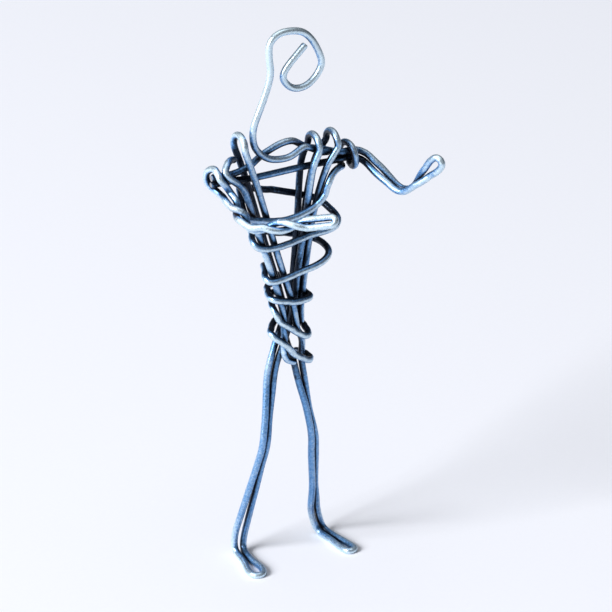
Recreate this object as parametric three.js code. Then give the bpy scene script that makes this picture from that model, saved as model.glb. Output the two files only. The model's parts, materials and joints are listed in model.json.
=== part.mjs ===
// A standing figure bent from soft steel wire: a curled head on a bare neck, three hairpins hung over
// two shoulder bars, windings that bind them into a torso, and doubled wires for arms and legs.
// Millimetres, +Z up. The figure faces -Y, so its left hand is on the +X side.
import * as THREE from 'three';
import { mergeVertices } from 'three/addons/utils/BufferGeometryUtils.js';

// Wire stock
const WIRE_DIAMETER = 1.6;
const WIRE_GAP = 0.3; // air between wires that lie together
const BEND_GAP = 0.4; // air between the two domed tips at a bend that moves
const BEND_RADIUS = 2.4; // of the wire's centre line round such a bend

// Stations of the body above the floor
const ANKLE_HEIGHT = 4.2;
const KNEE_HEIGHT = 30.8;
const HIP_HEIGHT = 48.5;
const WAIST_HEIGHT = 64;
const SHOULDER_HEIGHT = 98.3;
const NECK_RISE = 8.9; // from the shoulder bars to the bend of the neck

// Where the stations lie to the left (+X) of the point between the feet
const WAIST_X = -0.4;
const RIGHT_HIP_X = -4.8;
const LEFT_HIP_X = 2.2;
const RIGHT_KNEE_X = -7.9;
const LEFT_KNEE_X = 4.8;
const RIGHT_ANKLE_X = -11.3;
const LEFT_ANKLE_X = 8.8;
const RIGHT_COIL_X = -19.2;
const LEFT_SHOULDER_X = 18;
const NECK_X = -9.7;

// Legs and feet
const KNEE_FORWARD = 2.7;
const ANKLE_BACK = 4.6;
const RIGHT_ANKLE_SPREAD = 2.8; // between the wire's centre lines
const LEFT_ANKLE_SPREAD = 1.9;
const HEEL_BACK = 6;
const HEEL_RADIUS = 1.5; // of the wire's centre line
const RIGHT_HEEL_OUT = 0; // from under the ankle
const LEFT_HEEL_OUT = 1.2;
const FOOT_LENGTH = 14.6;
const RIGHT_TOE_OUT = 5; // degrees
const LEFT_TOE_OUT = 8.5; // degrees
const TOE_LOOP_WIDTH = 2.6; // between the wire's centre lines
const SOLE_FLAT = 0.25; // depth of the flat filed under each foot

// Arms
const RIGHT_UPPER_ARM_LENGTH = 8.9;
const LEFT_UPPER_ARM_LENGTH = 14.3;
const RIGHT_FOREARM_LENGTH = 19.3;
const LEFT_FOREARM_LENGTH = 14.2;
const RIGHT_UPPER_ARM_WAY = new THREE.Vector3(0.15, -0.8, -0.58).normalize();
const RIGHT_FOREARM_WAY = new THREE.Vector3(0.8, -0.58, 0.17).normalize();
const LEFT_UPPER_ARM_WAY = new THREE.Vector3(0.39, -0.75, -0.54).normalize();
const LEFT_FOREARM_WAY = new THREE.Vector3(0.31, -0.59, 0.745).normalize();
const RIGHT_ARM_FORWARD = 3.7; // the right arm leaves its coil in front of the bars and below them
const RIGHT_ARM_DROP = 3.1;
const RIGHT_ARM_TILT = 0.55; // rise over run of the line from one strand to the other
const HAND_LOOP_WIDTH = 2.8; // between the wire's centre lines
const RIGHT_HAND_LOOP_LENGTH = 6.5;
const LEFT_HAND_LOOP_LENGTH = 5.2;
const RIGHT_FOREARM_TWIST = 270; // degrees that the two strands turn about each other
const LEFT_FOREARM_TWIST = 90; // degrees

// Head
const HEAD_WIDTH = 13.1; // between the wire's centre lines
const HEAD_HEIGHT = 13.7;
const HEAD_RISE = 16.6; // from the neck bend to the middle of the curl
const HEAD_OFFSET = 10.8; // from the neck to the middle of the curl, to the left

// Shoulder bars and the hairpins that hang over them
const BAR_HUMP = 5.4; // how far the back bar and the neck bar rise between the hairpins
const RIGHT_HAIRPIN_X = -10.2;
const INNER_HAIRPIN_X = 4.7;
const OUTER_HAIRPIN_X = 8.4;
const RIGHT_HAIRPIN_RISE = 9.6; // from the bars to the crown of the hairpin
const LEFT_HAIRPIN_RISE = 6.4;
const OUTER_JOIN_SHARE = 0.3; // of the way to the waist, where the outer hairpin joins the inner one
const HOOK_RISE = 2.5; // from the hips to the hooked lower end of the strand at the right

// Windings
const COIL_PITCH = 2.3; // along the bars in one turn
const BINDING_SQUARENESS = 4; // 2 gives ellipses, and more gives squarer turns
const BINDING_LEAN = 0.45; // how far the right side of a turn moves left per depth towards the back
const STEPS_PER_TURN = 24;

// Facets
const WIRE_SIDES = 8;
const WINDING_SIDES = 6;
const DOME_STEPS = 2;
const LONGEST_STEP = 6;
const SHARPEST_TURN = 24; // degrees between one ring of a wire and the next

const RADIUS = WIRE_DIAMETER / 2;
const PITCH = WIRE_DIAMETER + WIRE_GAP;
const SETBACK = RADIUS + BEND_GAP / 2; // from the middle of a bend to the ball of a domed tip
const LEAD = WIRE_DIAMETER; // straight wire beyond the curve of a bend
const NECK_HEIGHT = SHOULDER_HEIGHT + NECK_RISE;

const X_AXIS = new THREE.Vector3(1, 0, 0);
const at = (x, y, z) => new THREE.Vector3(x, y, z);
const along = (start, way, distance) => start.clone().addScaledVector(way, distance);
const between = (from, to, share) => from.clone().lerp(to, share);
const radians = THREE.MathUtils.degToRad;
const mix = THREE.MathUtils.lerp;

// The places on a path where a wire gets a ring of points: close in bends, far apart on straights.
function ringPlaces(path) {
  const samples = Math.ceil(path.getLength() / (RADIUS / 4));
  const limit = radians(SHARPEST_TURN);
  const turned = [0];
  for (let i = 1; i <= samples; i += 1) {
    const turn = path.getTangentAt((i - 1) / samples).angleTo(path.getTangentAt(i / samples));
    turned.push(turned[i - 1] + turn / limit + path.getLength() / samples / LONGEST_STEP);
  }
  const rings = Math.ceil(turned[samples]);
  const places = [0];
  let i = 1;
  for (let ring = 1; ring < rings; ring += 1) {
    const wanted = (turned[samples] * ring) / rings;
    while (turned[i] < wanted) i += 1;
    const share = (wanted - turned[i - 1]) / (turned[i] - turned[i - 1]);
    places.push((i - 1 + share) / samples);
  }
  return [...places, 1];
}

// Frames that turn with a path and don't spin about it.
function framesAlong(path, places) {
  let tangent = path.getTangentAt(0);
  const helper = Math.abs(tangent.z) < 0.8 ? at(0, 0, 1) : X_AXIS;
  const normal = helper.clone().projectOnPlane(tangent).normalize();
  return places.map((place) => {
    const next = path.getTangentAt(place);
    normal.applyQuaternion(new THREE.Quaternion().setFromUnitVectors(tangent, next));
    normal.projectOnPlane(next).normalize();
    tangent = next;
    const binormal = new THREE.Vector3().crossVectors(next, normal);
    return { centre: path.getPointAt(place), tangent: next, normal: normal.clone(), binormal };
  });
}

// A smooth path through the points, for a wire's centre line.
function wirePath(points) {
  const path = new THREE.CatmullRomCurve3(points, false, 'centripetal');
  path.arcLengthDivisions = points.length * 40;
  return path;
}

// A length of round wire with domed ends: a capsule bent to follow the path.
function wireGeometry(path, sides, places) {
  const length = path.getLength();
  const rings = places.length - 1;
  const capsule = new THREE.CapsuleGeometry(RADIUS, length, DOME_STEPS, sides, rings);
  capsule.deleteAttribute('normal');
  capsule.deleteAttribute('uv');
  const frames = framesAlong(path, places);
  const position = capsule.getAttribute('position');
  const vertex = new THREE.Vector3();
  for (let i = 0; i < position.count; i += 1) {
    vertex.fromBufferAttribute(position, i);
    const distance = vertex.y + length / 2;
    const onPath = THREE.MathUtils.clamp(distance, 0, length);
    const frame = frames[Math.round((onPath / length) * rings)];
    const bent = along(frame.centre, frame.tangent, distance - onPath);
    bent.addScaledVector(frame.normal, vertex.x).addScaledVector(frame.binormal, -vertex.z);
    position.setXYZ(i, bent.x, bent.y, bent.z);
  }
  return withoutSlivers(mergeVertices(capsule, RADIUS / 1000));
}

// Drops the triangles that merging left with fewer than three corners.
function withoutSlivers(geometry) {
  const kept = [];
  const index = geometry.getIndex();
  for (let i = 0; i < index.count; i += 3) {
    const corners = [index.getX(i), index.getX(i + 1), index.getX(i + 2)];
    if (new Set(corners).size === 3) kept.push(...corners);
  }
  geometry.setIndex(kept);
  geometry.computeVertexNormals();
  return geometry;
}

const figure = new THREE.Group();

function addMesh(name, geometry) {
  const material = new THREE.MeshStandardMaterial({ color: 0x75808d, roughness: 0.38, metalness: 1 });
  const mesh = new THREE.Mesh(geometry, material);
  mesh.name = name;
  figure.add(mesh);
  return mesh;
}

// A wire bent by hand through the points.
function addWire(name, points) {
  const path = wirePath(points);
  return addMesh(name, wireGeometry(path, WIRE_SIDES, ringPlaces(path)));
}

// A wound wire, with even steps, that reports the least air between its own turns.
function addWinding(name, points) {
  const path = wirePath(points);
  const steps = points.length - 1;
  const places = Array.from({ length: steps + 1 }, (_, i) => i / steps);
  console.log(`${name}: least gap to itself ${leastGap(path).toFixed(2)} mm`);
  return addMesh(name, wireGeometry(path, WINDING_SIDES, places));
}

// The least air between two stretches of one wire that are more than half a turn of a tight coil apart.
function leastGap(path) {
  const points = path.getSpacedPoints(Math.ceil(path.getLength() / RADIUS));
  const apart = Math.ceil((Math.PI * 2 * PITCH) / RADIUS);
  let least = Infinity;
  for (let i = 0; i < points.length; i += 1) {
    for (let j = i + apart; j < points.length; j += 1) {
      least = Math.min(least, points[i].distanceTo(points[j]));
    }
  }
  return least - WIRE_DIAMETER;
}

// A bend that moves, rounded inside its corner. Wires stop short of its middle on both sides.
// Where two strands lie side by side, the line between them is the axis that they bend about.
function bend(corner, wayIn, wayOut, axis, spread = PITCH) {
  const half = wayIn.angleTo(wayOut) / 2;
  const way = wayIn.clone().add(wayOut).normalize();
  const inwards = wayOut.clone().sub(wayIn).normalize();
  const centre = along(corner, inwards, BEND_RADIUS * (1 / Math.cos(half) - 1));
  const run = BEND_RADIUS * Math.tan(half) + LEAD;
  return { corner, centre, way, wayIn, wayOut, run, axis, spread };
}

// The first two points of a wire that leaves a bend, and the last two of one that comes to it.
const leave = ({ corner, centre, way, wayOut, run }) => [
  along(centre, way, SETBACK),
  along(corner, wayOut, run),
];
const reach = ({ corner, centre, way, wayIn, run }) => [
  along(corner, wayIn, -run),
  along(centre, way, -SETBACK),
];

// Points moved aside onto one of the two strands of a bend.
function beside(points, { axis, spread }, side) {
  return points.map((point) => along(point, axis, (side * spread) / 2));
}

// One of the two strands between two bends, whose pair turns from the first axis to the second.
function strand(first, last, side) {
  const start = leave(first)[1];
  const end = reach(last)[0];
  const middle = [1 / 3, 2 / 3].map((share) => {
    const axis = first.axis.clone().lerp(last.axis, share).normalize();
    const spread = mix(first.spread, last.spread, share);
    return along(between(start, end, share), axis, (side * spread) / 2);
  });
  return [...beside(leave(first), first, side), ...middle, ...beside(reach(last), last, side)];
}

// Torso strands in layers from front to back, one pitch apart where they cross
const OUTER_LAYER = 1.5 * PITCH;
const INNER_LAYER = 0.5 * PITCH;
const BINDING_LAYER = 2.5 * PITCH;

const hipWay = (hipX, kneeX) => at(kneeX - hipX, -KNEE_FORWARD / 2, KNEE_HEIGHT - HIP_HEIGHT).normalize();
const torsoWay = (hipX) => at(hipX - WAIST_X, 0, HIP_HEIGHT - WAIST_HEIGHT).normalize();

function legBends(hipX, kneeX, ankleX, heelOut, ankleSpread) {
  const hip = at(hipX, 0, HIP_HEIGHT);
  const knee = at(kneeX, -KNEE_FORWARD, KNEE_HEIGHT);
  const ankle = at(ankleX, ANKLE_BACK, ANKLE_HEIGHT);
  const heel = at(ankleX + heelOut, HEEL_BACK, RADIUS - SOLE_FLAT);
  const thighWay = knee.clone().sub(hip).normalize();
  const shinWay = ankle.clone().sub(knee).normalize();
  const heelWay = heel.clone().sub(ankle).normalize();
  return {
    hip: bend(hip, torsoWay(hipX), hipWay(hipX, kneeX), X_AXIS),
    knee: bend(knee, thighWay, shinWay, X_AXIS),
    ankle: bend(ankle, shinWay, heelWay, X_AXIS, ankleSpread),
    heel,
  };
}

function armBends(shoulder, upperLength, foreWay) {
  const upperWay = shoulder.wayOut;
  const corner = along(shoulder.corner, upperWay, upperLength);
  const axis = new THREE.Vector3().crossVectors(upperWay, foreWay).normalize();
  if (axis.dot(shoulder.axis) < 0) axis.negate();
  return { shoulder, elbow: bend(corner, upperWay, foreWay, axis) };
}

// The left arm is the bars' own ends, bent forwards. The right arm hangs from a coil round the bars.
function leftShoulder() {
  const corner = at(LEFT_SHOULDER_X, 0, SHOULDER_HEIGHT);
  const axis = at(0, 0, 1).projectOnPlane(X_AXIS.clone().add(LEFT_UPPER_ARM_WAY).normalize()).normalize();
  return bend(corner, X_AXIS, LEFT_UPPER_ARM_WAY, axis);
}

function rightShoulder() {
  const corner = at(RIGHT_COIL_X + COIL_PITCH, -RIGHT_ARM_FORWARD, SHOULDER_HEIGHT - RIGHT_ARM_DROP);
  const axis = at(1, 0, RIGHT_ARM_TILT).projectOnPlane(RIGHT_UPPER_ARM_WAY).normalize();
  return bend(corner, at(0, -1, 0), RIGHT_UPPER_ARM_WAY, axis);
}

const rightLeg = legBends(RIGHT_HIP_X, RIGHT_KNEE_X, RIGHT_ANKLE_X, RIGHT_HEEL_OUT, RIGHT_ANKLE_SPREAD);
const leftLeg = legBends(LEFT_HIP_X, LEFT_KNEE_X, LEFT_ANKLE_X, LEFT_HEEL_OUT, LEFT_ANKLE_SPREAD);
const rightArm = armBends(rightShoulder(), RIGHT_UPPER_ARM_LENGTH, RIGHT_FOREARM_WAY);
const leftArm = armBends(leftShoulder(), LEFT_UPPER_ARM_LENGTH, LEFT_FOREARM_WAY);
const neck = bend(at(NECK_X, -INNER_LAYER, NECK_HEIGHT), at(0, 0, 1), at(0, 0, 1), X_AXIS);

// Places of the torso's strands by height: straight from the shoulder bars to the waist.
const OUTER_JOIN_HEIGHT = mix(SHOULDER_HEIGHT, WAIST_HEIGHT, OUTER_JOIN_SHARE);
const atWaist = (z) => Math.max(z, WAIST_HEIGHT);
const waistShare = (z) => (SHOULDER_HEIGHT - z) / (SHOULDER_HEIGHT - WAIST_HEIGHT);
const rightStrandX = (z) => mix(RIGHT_HAIRPIN_X, WAIST_X, waistShare(z));
const innerStrandX = (z) => mix(INNER_HAIRPIN_X, WAIST_X + PITCH / 2, waistShare(z));
const outerStrandX = (z) => innerStrandX(z) + PITCH;
const sideStrandX = (z) => mix(RIGHT_HAIRPIN_X - 1.7 * PITCH, WAIST_X - 1.5 * PITCH, waistShare(z));

// The pair of ends of a hairpin as it comes down from the waist to a hip: front and back strands turn
// about each other until they lie side by side in the leg.
function toHip(leg, startX, startZ, startLayer, face) {
  const points = [];
  const goal = reach(leg.hip)[0];
  const turns = 4;
  for (let i = 0; i < turns; i += 1) {
    const share = i / turns;
    const angle = (share * Math.PI) / 2;
    const reachOut = mix(startLayer, PITCH / 2, share);
    const x = mix(startX, goal.x, share) + reachOut * Math.sin(angle) * face;
    const y = mix(0, goal.y, share) - reachOut * Math.cos(angle) * face;
    points.push(at(x, y, mix(startZ, goal.z, share)));
  }
  return [...points, ...beside(reach(leg.hip), leg.hip, face)];
}

// A hairpin's crown: half a circle over the bars, from the back to the front.
function crown(x, rise) {
  const steps = 6;
  return Array.from({ length: steps + 1 }, (_, i) => {
    const angle = (Math.PI * i) / steps;
    const z = SHOULDER_HEIGHT + rise - OUTER_LAYER + OUTER_LAYER * Math.sin(angle);
    return at(x, OUTER_LAYER * Math.cos(angle), z);
  });
}

function rightHairpin() {
  const clearOfWaist = mix(WAIST_HEIGHT, HIP_HEIGHT, 0.32);
  const top = rightStrandX(SHOULDER_HEIGHT + RIGHT_HAIRPIN_RISE * 0.8);
  const run = [0, 0.5, 1].map((share) => mix(SHOULDER_HEIGHT, WAIST_HEIGHT, share));
  const back = run.map((z) => at(rightStrandX(z), OUTER_LAYER, z));
  const front = run.map((z) => at(rightStrandX(z), -OUTER_LAYER, z));
  const startX = mix(WAIST_X, LEFT_HIP_X, (WAIST_HEIGHT - clearOfWaist) / (WAIST_HEIGHT - HIP_HEIGHT));
  return [
    ...toHip(leftLeg, startX, clearOfWaist, OUTER_LAYER, -1).reverse(),
    ...back.reverse(),
    ...crown(top, RIGHT_HAIRPIN_RISE),
    ...front,
    ...toHip(leftLeg, startX, clearOfWaist, OUTER_LAYER, 1),
  ];
}

// The left hairpins start in the outer layers at the bars and lie in the inner ones at the waist.
const leftLayer = (z) => mix(OUTER_LAYER, INNER_LAYER, Math.min(1, waistShare(z) * 1.25));

function innerHairpin() {
  const run = [0, 0.4, 0.8].map((share) => mix(SHOULDER_HEIGHT, WAIST_HEIGHT, share));
  const back = run.map((z) => at(innerStrandX(z), leftLayer(z), z));
  const front = run.map((z) => at(innerStrandX(z), -leftLayer(z), z));
  const startX = innerStrandX(WAIST_HEIGHT);
  return [
    ...toHip(rightLeg, startX, WAIST_HEIGHT, INNER_LAYER, -1).reverse(),
    ...back.reverse(),
    ...crown(INNER_HAIRPIN_X + PITCH * 0.8, LEFT_HAIRPIN_RISE),
    ...front,
    ...toHip(rightLeg, startX, WAIST_HEIGHT, INNER_LAYER, 1),
  ];
}

function outerHairpin() {
  const lower = [mix(SHOULDER_HEIGHT, WAIST_HEIGHT, 0.8), WAIST_HEIGHT, WAIST_HEIGHT - PITCH * 2];
  const run = [OUTER_JOIN_HEIGHT, ...lower];
  const back = run.map((z) => at(outerStrandX(atWaist(z)), leftLayer(z), z));
  const front = run.map((z) => at(outerStrandX(atWaist(z)), -leftLayer(z), z));
  return [
    ...back.reverse(),
    at(OUTER_HAIRPIN_X, OUTER_LAYER, SHOULDER_HEIGHT),
    ...crown(OUTER_HAIRPIN_X + PITCH * 1.3, LEFT_HAIRPIN_RISE),
    at(OUTER_HAIRPIN_X, -OUTER_LAYER, SHOULDER_HEIGHT),
    ...front,
  ];
}

addWire('right_shoulder_hairpin', rightHairpin());
addWire('left_inner_hairpin', innerHairpin());
addWire('left_outer_hairpin', outerHairpin());

// The two shoulder bars run side by side through the shoulder coils, and part between the hairpins.
const barPlace = (side) => along(at(0, 0, SHOULDER_HEIGHT), leftArm.shoulder.axis, (side * PITCH) / 2);
const barEnd = (side) => beside(reach(leftArm.shoulder), leftArm.shoulder, side);
const BAR_START_X = RIGHT_COIL_X + PITCH / 4;

function backBar() {
  const low = barPlace(1);
  const top = SHOULDER_HEIGHT + BAR_HUMP;
  return [
    at(BAR_START_X, low.y, low.z),
    at(RIGHT_HAIRPIN_X - PITCH * 2, low.y, low.z),
    at(RIGHT_HAIRPIN_X, 0, mix(low.z, top, 0.2)),
    at(mix(RIGHT_HAIRPIN_X, WAIST_X, 0.4), INNER_LAYER, mix(low.z, top, 0.58)),
    at(WAIST_X - PITCH / 2, INNER_LAYER, top),
    at(WAIST_X + PITCH, INNER_LAYER, top),
    at(INNER_HAIRPIN_X, INNER_LAYER, mix(low.z, top, 0.55)),
    at(OUTER_HAIRPIN_X, INNER_LAYER, mix(low.z, top, 0.3)),
    at(OUTER_HAIRPIN_X + PITCH * 2.4, low.y, low.z),
    ...barEnd(1),
  ];
}

function lowerBar() {
  const low = barPlace(-1);
  return [
    at(BAR_START_X, low.y, low.z),
    at(RIGHT_HAIRPIN_X - PITCH * 2, low.y, low.z),
    at(RIGHT_HAIRPIN_X, low.y, low.z - WIRE_GAP),
    at(INNER_HAIRPIN_X, low.y, low.z),
    at(OUTER_HAIRPIN_X + PITCH * 2.4, low.y, low.z),
    ...barEnd(-1),
  ];
}

function neckBar() {
  const low = SHOULDER_HEIGHT + BAR_HUMP * 0.48;
  const drop = NECK_HEIGHT - low;
  const bottom = mix(NECK_X, INNER_HAIRPIN_X, 0.42);
  return [
    ...reach(neck).reverse(),
    at(NECK_X + PITCH * 0.9, -INNER_LAYER, low + drop * 0.36),
    at(NECK_X + PITCH * 2, -INNER_LAYER, low + drop * 0.11),
    at(bottom, -INNER_LAYER, low),
    at(WAIST_X, -INNER_LAYER, low),
    at(WAIST_X + PITCH * 2, -INNER_LAYER, low + BAR_HUMP * 0.3),
    at(INNER_HAIRPIN_X + PITCH / 2, -INNER_LAYER, low + BAR_HUMP * 0.14),
    at(OUTER_HAIRPIN_X - PITCH / 4, -INNER_LAYER, low - BAR_HUMP * 0.08),
    at(OUTER_HAIRPIN_X + PITCH / 4, -INNER_LAYER, low - BAR_HUMP * 0.1),
  ];
}

addWire('shoulder_back_bar', backBar());
addWire('shoulder_lower_bar', lowerBar());
addWire('neck_bar', neckBar());

// Turns of wire round the shoulder bars. Angles run from the top over the front.
function coil(startX, startAngle, endAngle, advance) {
  const steps = Math.round((Math.abs(endAngle - startAngle) / 360) * STEPS_PER_TURN);
  return Array.from({ length: steps + 1 }, (_, i) => {
    const x = startX + (advance * Math.abs(endAngle - startAngle) * (i / steps)) / 360;
    const turn = radians(mix(startAngle, endAngle, i / steps));
    return at(x, -OUTER_LAYER * Math.sin(turn), SHOULDER_HEIGHT + OUTER_LAYER * Math.cos(turn));
  });
}

// Evenly spaced points along a hand-led stretch of a winding.
function led(points) {
  const path = wirePath(points);
  const step = (Math.PI * 2 * BINDING_LAYER) / STEPS_PER_TURN;
  return path.getSpacedPoints(Math.ceil(path.getLength() / step));
}

// The right arm's wire, from one of its strands over the bars and back under them to the other strand.
function rightCoil() {
  const { shoulder } = rightArm;
  const turns = coil(RIGHT_COIL_X, 60, -170, COIL_PITCH);
  const [inner, outer] = [1, -1].map((side) => beside(reach(shoulder), shoulder, side));
  const innerEnd = inner[1];
  const lead = [
    innerEnd,
    at(mix(turns[0].x, innerEnd.x, 0.3), innerEnd.y - WIRE_GAP, mix(turns[0].z, innerEnd.z, 0.5)),
    turns[0],
  ];
  const tail = [turns[turns.length - 1], ...outer];
  return [...led(lead).slice(0, -1), ...turns, ...led(tail).slice(1)];
}

// The strand at the figure's right, hooked over the bars and bound in with the hairpins.
function sideStrand() {
  const over = SHOULDER_HEIGHT + OUTER_LAYER;
  const hookX = RIGHT_HAIRPIN_X - PITCH * 3;
  const hookEnd = HIP_HEIGHT + HOOK_RISE;
  return [
    at(hookX + PITCH * 1.7, PITCH, over + PITCH * 0.2),
    at(hookX + PITCH * 0.9, PITCH * 0.4, over + PITCH * 0.5),
    at(hookX, -PITCH * 0.5, over + PITCH * 0.5),
    at(hookX - PITCH * 0.6, -PITCH * 1.2, over - PITCH * 0.2),
    at(hookX - PITCH * 0.1, -OUTER_LAYER, over - PITCH),
    at(hookX + PITCH, -OUTER_LAYER, SHOULDER_HEIGHT - PITCH * 0.5),
    at(sideStrandX(SHOULDER_HEIGHT - PITCH * 1.7), -OUTER_LAYER, SHOULDER_HEIGHT - PITCH * 1.7),
    at(sideStrandX(OUTER_JOIN_HEIGHT), -OUTER_LAYER, OUTER_JOIN_HEIGHT),
    at(sideStrandX(WAIST_HEIGHT), -OUTER_LAYER, WAIST_HEIGHT),
    at(sideStrandX(WAIST_HEIGHT) + PITCH * 0.2, -OUTER_LAYER, hookEnd + PITCH * 2.1),
    at(sideStrandX(WAIST_HEIGHT) + PITCH * 0.2, -OUTER_LAYER, hookEnd + PITCH * 1.3),
    at(sideStrandX(WAIST_HEIGHT) + PITCH * 0.6, -OUTER_LAYER, hookEnd + PITCH * 0.4),
    at(sideStrandX(WAIST_HEIGHT) + PITCH * 1.3, -OUTER_LAYER, hookEnd),
  ];
}

addWire('right_shoulder_coil', rightCoil());
addWire('right_side_strand', sideStrand());

// Half a turn round the torso from side to side, past the front or the back, that may sag between.
function halfTurn(from, to, layer, sag = 0) {
  const steps = STEPS_PER_TURN / 2;
  const power = 2 / BINDING_SQUARENESS;
  return Array.from({ length: steps }, (_, i) => {
    const angle = (Math.PI * i) / steps;
    const across = Math.sign(Math.cos(angle)) * Math.abs(Math.cos(angle)) ** power;
    const share = (1 - across) / 2;
    const y = layer * Math.sin(angle) ** power;
    const x = mix(from.x, to.x, share) + mix(from.lean, to.lean, share) * y;
    return at(x, y, mix(from.z, to.z, share) - sag * Math.sin(angle));
  });
}

// Heights on the torso are shares of the way from the hips to the shoulder bars. A turn's place at the
// figure's right or left side also has the slack, in pitches, that it leaves beyond the strands there.
const torsoZ = (share) => mix(HIP_HEIGHT, SHOULDER_HEIGHT, share);

function rightSide(share, slack) {
  const z = torsoZ(share);
  return { x: sideStrandX(atWaist(z)) - PITCH * (1 + slack), z, lean: BINDING_LEAN };
}

function leftSide(share, slack) {
  const z = torsoZ(share);
  return { x: outerStrandX(atWaist(z)) + PITCH * (1 + slack), z, lean: 0 };
}

function chestBinding() {
  const wound = coil(LEFT_SHOULDER_X - PITCH, 200, -180, -COIL_PITCH);
  const start = wound[wound.length - 1];
  const front = -BINDING_LAYER;
  const back = BINDING_LAYER;
  const first = rightSide(0.88, -0.26);
  const lead = [
    start,
    at(start.x - PITCH, -OUTER_LAYER, torsoZ(0.947)),
    at(OUTER_HAIRPIN_X + PITCH * 0.7, front + PITCH * 0.2, torsoZ(0.933)),
    at(OUTER_HAIRPIN_X, front, torsoZ(0.897)),
    at(OUTER_HAIRPIN_X - PITCH * 0.6, front, torsoZ(0.856)),
    at(OUTER_HAIRPIN_X - PITCH * 1.7, front, torsoZ(0.822)),
    at(OUTER_HAIRPIN_X - PITCH * 3, front, torsoZ(0.8)),
    at(WAIST_X - PITCH * 1.3, front, torsoZ(0.783)),
    at(RIGHT_HAIRPIN_X + PITCH * 1.4, front, torsoZ(0.797)),
    at(first.x - PITCH * 0.2, -OUTER_LAYER - INNER_LAYER, torsoZ(0.827)),
    at(first.x, 0, first.z),
    at(first.x + PITCH, back - PITCH / 2, torsoZ(0.904)),
    at(RIGHT_HAIRPIN_X + PITCH / 2, back, torsoZ(0.902)),
    at(WAIST_X, back, torsoZ(0.847)),
    at(INNER_HAIRPIN_X, back, torsoZ(0.813)),
    at(OUTER_HAIRPIN_X + PITCH / 2, OUTER_LAYER + INNER_LAYER, torsoZ(0.775)),
  ];
  const sides = [
    leftSide(0.73, 2.35),
    rightSide(0.697, -0.1),
    leftSide(0.58, 1.55),
    rightSide(0.504, -0.32),
    leftSide(0.352, 0.2),
    rightSide(0.392, 0.05),
    leftSide(0.39, 0.53),
  ];
  const turns = [
    ...halfTurn(sides[0], sides[1], front, PITCH * 1.3),
    ...halfTurn(sides[1], sides[2], back),
    ...halfTurn(sides[2], sides[3], front, PITCH * 0.9),
    ...halfTurn(sides[3], sides[4], back),
    ...halfTurn(sides[4], sides[5], front),
    ...halfTurn(sides[5], sides[6], back).slice(0, 5),
  ];
  return [...wound, ...led([...lead, turns[0]]).slice(1, -1), ...turns];
}

function hipBinding() {
  const front = -BINDING_LAYER;
  const back = BINDING_LAYER;
  const sides = [
    rightSide(0.345, 0.05),
    leftSide(0.19, 0),
    rightSide(0.221, 0.21),
    leftSide(0.035, 0.2),
  ];
  const first = halfTurn(sides[0], leftSide(0.341, 0.53), back).slice(1, 6).reverse();
  const last = halfTurn(sides[3], rightSide(0.008, 0), back).slice(0, 4);
  return [
    ...first,
    ...halfTurn(sides[0], sides[1], front, PITCH),
    ...halfTurn(sides[1], sides[2], back),
    ...halfTurn(sides[2], sides[3], front),
    ...last,
  ];
}

addWinding('chest_binding', chestBinding());
addWinding('hip_binding', hipBinding());

// Head: the neck rises from its bend into an open curl, whose free end crosses the inside.
// The outline is given in half widths and half heights about the middle of the curl.
const HEAD_OUTLINE = [
  [-0.95, -0.34], [-0.95, -0.08], [-1, 0.37], [-0.94, 0.71], [-0.68, 0.94], [-0.27, 1], [0.24, 0.9],
  [0.57, 0.64], [0.88, 0.14], [1, -0.3], [0.8, -0.68], [0.42, -0.96], [0.04, -1], [-0.24, -0.88],
  [-0.46, -0.58], [-0.4, -0.33], [0.3, 0.37],
];

function headWire() {
  const middle = at(NECK_X + HEAD_OFFSET, -INNER_LAYER, NECK_HEIGHT + HEAD_RISE);
  const curl = HEAD_OUTLINE.map(([x, z]) => at((x * HEAD_WIDTH) / 2, 0, (z * HEAD_HEIGHT) / 2).add(middle));
  const start = leave(neck);
  const neckTop = curl[0];
  return [
    ...start,
    at(mix(NECK_X, neckTop.x, 0.3), -INNER_LAYER, mix(NECK_HEIGHT, neckTop.z, 0.35)),
    at(mix(NECK_X, neckTop.x, 0.68), -INNER_LAYER, mix(NECK_HEIGHT, neckTop.z, 0.64)),
    at(mix(NECK_X, neckTop.x, 0.9), -INNER_LAYER, mix(NECK_HEIGHT, neckTop.z, 0.84)),
    ...curl,
  ];
}

addWire('head_wire', headWire());

// A doubled wire that leaves a bend, runs out, opens into a loop and comes back beside itself.
function loopWire(joint, stations, tip, loopAxis, loopWidth) {
  const out = stations.map(({ place, axis }) => along(place, axis, PITCH / 2));
  const home = stations.map(({ place, axis }) => along(place, axis, -PITCH / 2));
  return [
    ...beside(leave(joint), joint, 1),
    ...out,
    along(tip.neck, loopAxis, loopWidth / 2),
    along(tip.round, loopAxis, loopWidth * 0.37),
    tip.end,
    along(tip.round, loopAxis, -loopWidth * 0.37),
    along(tip.neck, loopAxis, -loopWidth / 2),
    ...home.reverse(),
    ...beside(leave(joint), joint, -1).reverse(),
  ];
}

// Arms: two strands from shoulder to elbow, and one doubled wire for the forearm and the hand's loop.
function forearm(elbow, length, loopLength, twist) {
  const { corner, wayOut, axis, run } = elbow;
  const turned = (degrees) => axis.clone().applyAxisAngle(wayOut, radians(degrees));
  const wrist = length - loopLength;
  const stations = [0.2, 0.4, 0.6, 0.8, 1].map((share) => ({
    place: along(corner, wayOut, mix(run, wrist, share)),
    axis: turned(twist * share),
  }));
  const tip = {
    neck: along(corner, wayOut, length - loopLength * 0.42),
    round: along(corner, wayOut, length - HAND_LOOP_WIDTH * 0.17),
    end: along(corner, wayOut, length),
  };
  return loopWire(elbow, stations, tip, turned(twist), HAND_LOOP_WIDTH);
}

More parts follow.
